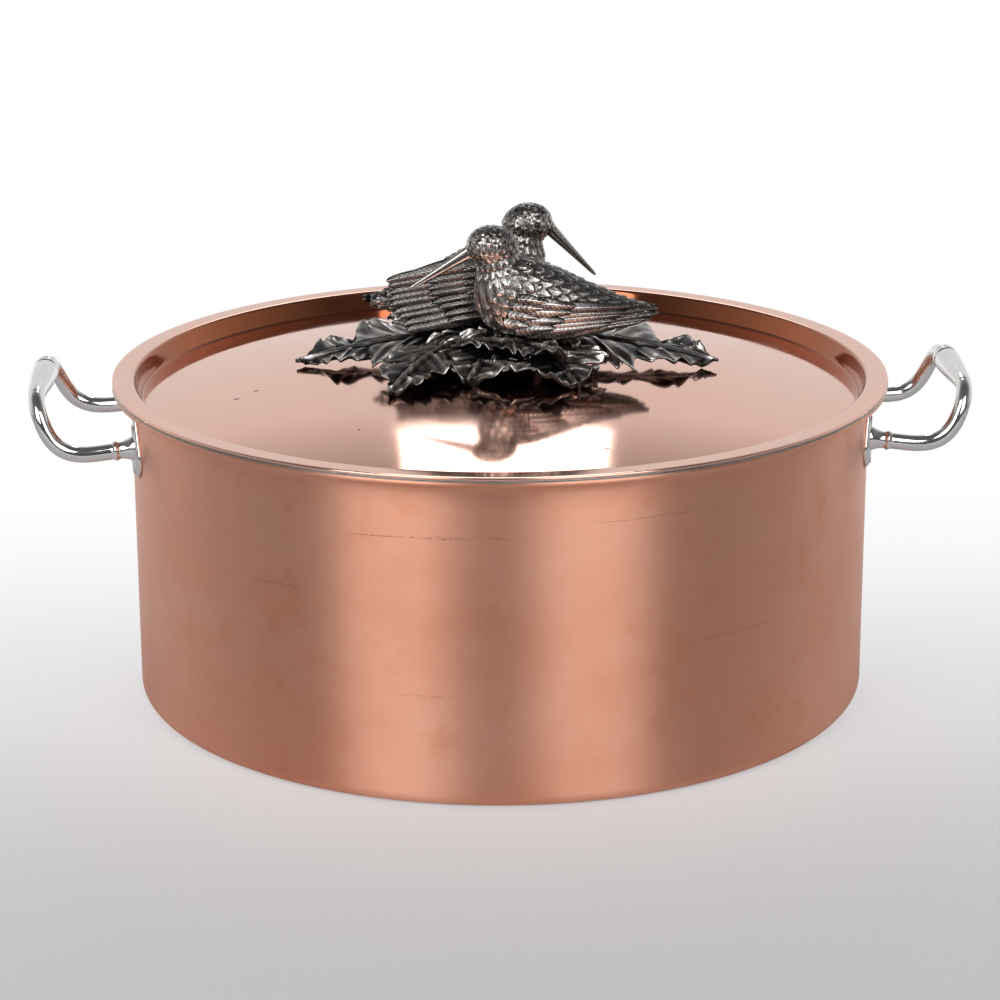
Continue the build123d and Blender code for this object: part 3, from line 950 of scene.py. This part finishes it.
def feather_flow(points):
    """Distance along the bird's spine from the forehead, and turn about it."""
    runs = np.diff(spine, axis=0)
    lengths = np.linalg.norm(runs, axis=1)
    starts = np.concatenate([[0], np.cumsum(lengths)])
    flat = points[:, [0, 2]]
    best = np.full(len(points), 1e9)
    flow, aside = np.zeros(len(points)), np.zeros(len(points))
    for start, run, length, before in zip(spine, runs, lengths, starts):
        k = np.clip(((flat - start) @ run) / length**2, 0, 1)
        gap = flat - (start + k[:, None] * run)
        far = np.linalg.norm(gap, axis=1)
        closer = far < best
        ahead = run / length
        best = np.where(closer, far, best)
        flow = np.where(closer, before + k * length, flow)
        aside = np.where(closer, gap[:, 0] * -ahead[1] + gap[:, 1] * ahead[0], aside)
    return flow, np.arctan2(points[:, 1], -aside)


def feather_blade(root, tip, width, outward_way, arch, rows=41, columns=11):
    """One long feather: a ridged blade from root to tip, arched off the body."""
    root, tip, way = (np.array(v, float) for v in (root, tip, outward_way))
    along = tip - root
    length = np.linalg.norm(along)
    along /= length
    way = unit(way - along * np.dot(way, along))
    side = np.cross(along, way)
    points, ridge = [], []
    for upper in (True, False):
        for i in range(rows):
            s = i / (rows - 1)
            half = 0.5 * width * (0.55 + 0.45 * sin(pi * min(1, s * 1.15 + 0.2)))
            half *= sqrt(max(0.0, 1 - max(0, (s - 0.72) / 0.28) ** 2.2))
            for j in range(columns):
                t = 2 * j / (columns - 1) - 1
                rib = exp(-(t / 0.16) ** 2)
                barb = 0.5 + 0.5 * cos(2 * pi * (s * length / 2.0 - abs(t) * 1.4))
                height = arch * sin(pi * s) - 0.9
                if upper:
                    height = arch * sin(pi * s) + 0.75 * (1 - t * t) + 0.40 * rib + 0.16 * barb
                points.append(root + along * length * s + side * half * t + way * height)
                ridge.append((0.42 - 0.34 * abs(t) ** 3 + 0.5 * rib + 0.30 * barb) if upper else 0.02)
    return points, slab_faces(rows, columns), ridge


def bill_skin(tip, rings=41, sides=32):
    """Long tapered bill with a groove along each side between its halves."""
    root, tip = np.array(bill_root, float), np.array(tip, float)
    length = np.linalg.norm(tip - root)
    along = (tip - root) / length
    side = unit(np.cross(along, (0, 0, 1)))
    up = np.cross(side, along)
    points, ridge = [], []
    for i in range(rings):
        s = i / (rings - 1)
        wide = bill_radius + (bill_end_radius - bill_radius) * s**0.75
        for j in range(sides):
            turn = 2 * pi * j / sides
            groove = exp(-(sin(turn + 0.12) / 0.20) ** 2) * (1 - 0.4 * s)
            reach = wide * (1 - 0.20 * groove) * (1 if s < 0.97 else 0.75)
            points.append(root + along * s * length + side * reach * 0.8 * cos(turn) + up * reach * sin(turn))
            ridge.append(0.80 - 0.65 * groove)
    return points, ring_faces(rings, sides), ridge


def scale_pitch(flow):
    """Distance between rows of body feathers, by the way from the forehead."""
    return 2.1 + 2.6 * smooth_step(flow, 6, 30)


def wing(side, rows):
    """Feathers of the wing on one side, 1 or -1, from its long quills up to the shoulder."""
    blades = []
    for count, first_root, first_tip, last_root, last_tip, width, arch in rows:
        for i in range(count):
            k = i / (count - 1)
            root = [a + (b - a) * k for a, b in zip(first_root, last_root)]
            tip = [a + (b - a) * k for a, b in zip(first_tip, last_tip)]
            tip[0] -= 2.5 * sin(pi * k) + 0.8 * sin(5.1 * i)
            tip[2] += 0.4 * sin(3.7 * i)
            ends = [(x, side * away, z) for x, away, z in (root, tip)]
            blades.append((*ends, width, (0, side, 0.25 * k), arch))
    return blades


def bird_piece(name, head, turn, bill_tip, blades):
    """Whole bird, its head put in place and its body turned about Z."""
    points, normals, faces = blended_skin([oval_loft(body_ovals)] + [ball_skin(*ball) for ball in head_balls])
    flow, about = feather_flow(points)
    marks = np.linspace(0, 140, 1400)
    rows = np.cumsum((marks[1] - marks[0]) / scale_pitch(marks))
    column = (about / (2 * pi) + 0.5) * feathers_round
    height, shaft = feather_scales(np.interp(flow, marks, rows), column)
    face_clear = 1 - np.exp(-(((points - np.array(eye)) / 3.0) ** 2).sum(axis=1))
    bulk = (0.30 * scale_pitch(flow) + 0.06) * face_clear
    points = points + normals * (bulk * (height + 0.25 * shaft - 0.5))[:, None]
    parts = [(points, faces)]
    ridges = [0.04 + 0.80 * height + 0.35 * shaft - 0.12 * smooth_step(flow, 34, 60)]
    for *shape, ridge in [bill_skin(bill_tip)] + [feather_blade(*blade) for blade in blades]:
        parts.append(shape)
        ridges.append(np.array(ridge))
    for side in (-1, 1):
        parts.append(ball_skin((eye[0], side * eye[1], eye[2]), (eye_radius,) * 3, sides=12))
        ridges.append(np.full(len(parts[-1][0]), 0.95))
    placed = []
    c, s = cos(turn), sin(turn)
    for some_points, some_faces in parts:
        x, y, z = np.array(some_points, float).T
        moved = np.stack([head[0] + c * x - s * y, head[1] + s * x + c * y, head[2] + z], axis=1)
        placed.append((in_knob_frame(moved), some_faces))
    piece = joined(name + "_casting", placed)
    ridge = np.concatenate(ridges)
    down = 1 - smooth_step(flow, 6, 18)
    with_shares(piece, "ridge", ridge)
    with_shares(piece, "down", np.concatenate([down, np.zeros(len(ridge) - len(down))]))
    piece.data.materials.append(feathered_silver)
    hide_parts(name)
    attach(piece, "lid")


feathered_silver = antique_silver("feathered_silver", True)
bird_piece("front_bird", (-3.0, -22.5, 199.0), pi + body_turn, (35.5, 0, -16.5),
           wing(1, folded_rows) + wing(-1, folded_rows))
bird_piece("rear_bird", (12.0, 14.5, 201.0), body_turn, (30.5, 0, -24),
           wing(-1, fanned_rows) + wing(1, folded_rows))


# Camera of the photograph: a long lens, a little above the lid and a little to
# the left, which looks down on the pot. Its angles are in degrees.
camera_place = (-0.0514, -1.2764, 0.4733)
camera_heading, camera_dip, camera_roll = -2.3, 17.12, -0.153
camera_lens = 108.9

camera = new_object("camera", bpy.data.cameras.new("camera"))
camera.data.lens = camera_lens
camera.data.sensor_width = 36
camera.data.clip_end = 50
aim = Matrix.Rotation(radians(camera_heading), 4, "Z")
aim = aim @ Matrix.Rotation(radians(90 - camera_dip), 4, "X")
aim = aim @ Matrix.Rotation(radians(camera_roll), 4, "Z")
camera.matrix_world = Matrix.Translation(camera_place) @ aim
bpy.context.scene.camera = camera


# Studio: a pale paper floor that fades to white behind, a soft box on the left,
# on the right and behind, a dark room in front and a bright backdrop behind.
floor_reach = 6000
# Where along Y the floor fades to white, for what sees it
floor_fades = (("Is Camera Ray", -0.42, 0.30), ("Is Glossy Ray", 0.0, 0.9))
softbox_aim = (0, 0, 0.1)


def add_softbox(name, azimuth, elevation, distance, width, height, radiance):
    """Rectangular lamp aimed at the pot; azimuth 0 is the camera's side."""
    lamp = bpy.data.lights.new(name, "AREA")
    lamp.shape = "RECTANGLE"
    lamp.size, lamp.size_y = width, height
    lamp.energy = radiance * pi * width * height
    turn, rise = radians(azimuth), radians(elevation)
    way = Vector((sin(turn) * cos(rise), -cos(turn) * cos(rise), sin(rise)))
    softbox = new_object(name, lamp)
    softbox.location = Vector(softbox_aim) + way * distance
    softbox.rotation_euler = way.to_track_quat("Z", "Y").to_euler()


corners = [(x * floor_reach, y * floor_reach, 0) for x, y in ((-1, -1), (1, -1), (1, 1), (-1, 1))]
floor = mesh_piece("studio_floor", corners, [(0, 1, 2, 3)])
material, tree, shader = new_material("studio_paper", metallic=0.0)
place = object_place(tree)
along = add(tree, "ShaderNodeSeparateXYZ", {0: place}).outputs[1]
shader.inputs["Roughness"].default_value = 0.9
shader.inputs["Specular IOR Level"].default_value = 0.1
paper = mixed(tree, noise(tree, place, 300, 3), (0.64, 0.635, 0.65), (0.68, 0.675, 0.69))
tree.links.new(paper, shader.inputs["Base Color"])
glow = add(tree, "ShaderNodeEmission", {"Color": (1, 1, 1, 1), "Strength": 1.0})
path = add(tree, "ShaderNodeLightPath")
shares = []
for ray, start, end in floor_fades:
    fade = ranged(tree, along, start, end, kind="SMOOTHSTEP")
    shares.append(maths(tree, "MULTIPLY", path.outputs[ray], fade))
white = maths(tree, "MAXIMUM", *shares)
blend = add(tree, "ShaderNodeMixShader", {0: white, 1: shader.outputs[0], 2: glow.outputs[0]})
tree.links.new(blend.outputs[0], tree.nodes["Material Output"].inputs["Surface"])
floor.data.materials.append(material)

add_softbox("left_softbox", -35, 34, 2.0, 1.05, 1.5, 3.6)
add_softbox("right_softbox", 26, 34, 2.0, 1.05, 1.5, 3.3)
add_softbox("back_softbox", 177.4, 37, 2.2, 0.42, 0.5, 3.2)

# The dark room and the backdrop go by height, and mix from front to back
world = bpy.data.worlds.new("surround")
bpy.context.scene.world = world
world.use_nodes = True
tree = world.node_tree
way = add(tree, "ShaderNodeTexCoord").outputs["Generated"]
parts = add(tree, "ShaderNodeSeparateXYZ", {0: way})
back = maths(tree, "MULTIPLY_ADD", parts.outputs[1], 0.5, 0.5)
behind = ramp(tree, back, [(0.0, 0.0), (0.25, 0.06), (0.50, 0.55), (0.72, 1.0)])
backdrop = ramp(tree, parts.outputs[2], [(0.0, 0.82), (0.42, 0.80), (0.62, 0.30), (0.9, 0.10)])
room = ramp(tree, parts.outputs[2], [(0.0, 0.06), (0.35, 0.09), (0.9, 0.12)])
tree.links.new(mixed(tree, behind, room, backdrop), tree.nodes["Background"].inputs["Color"])

bpy.context.scene.view_settings.view_transform = "Standard"
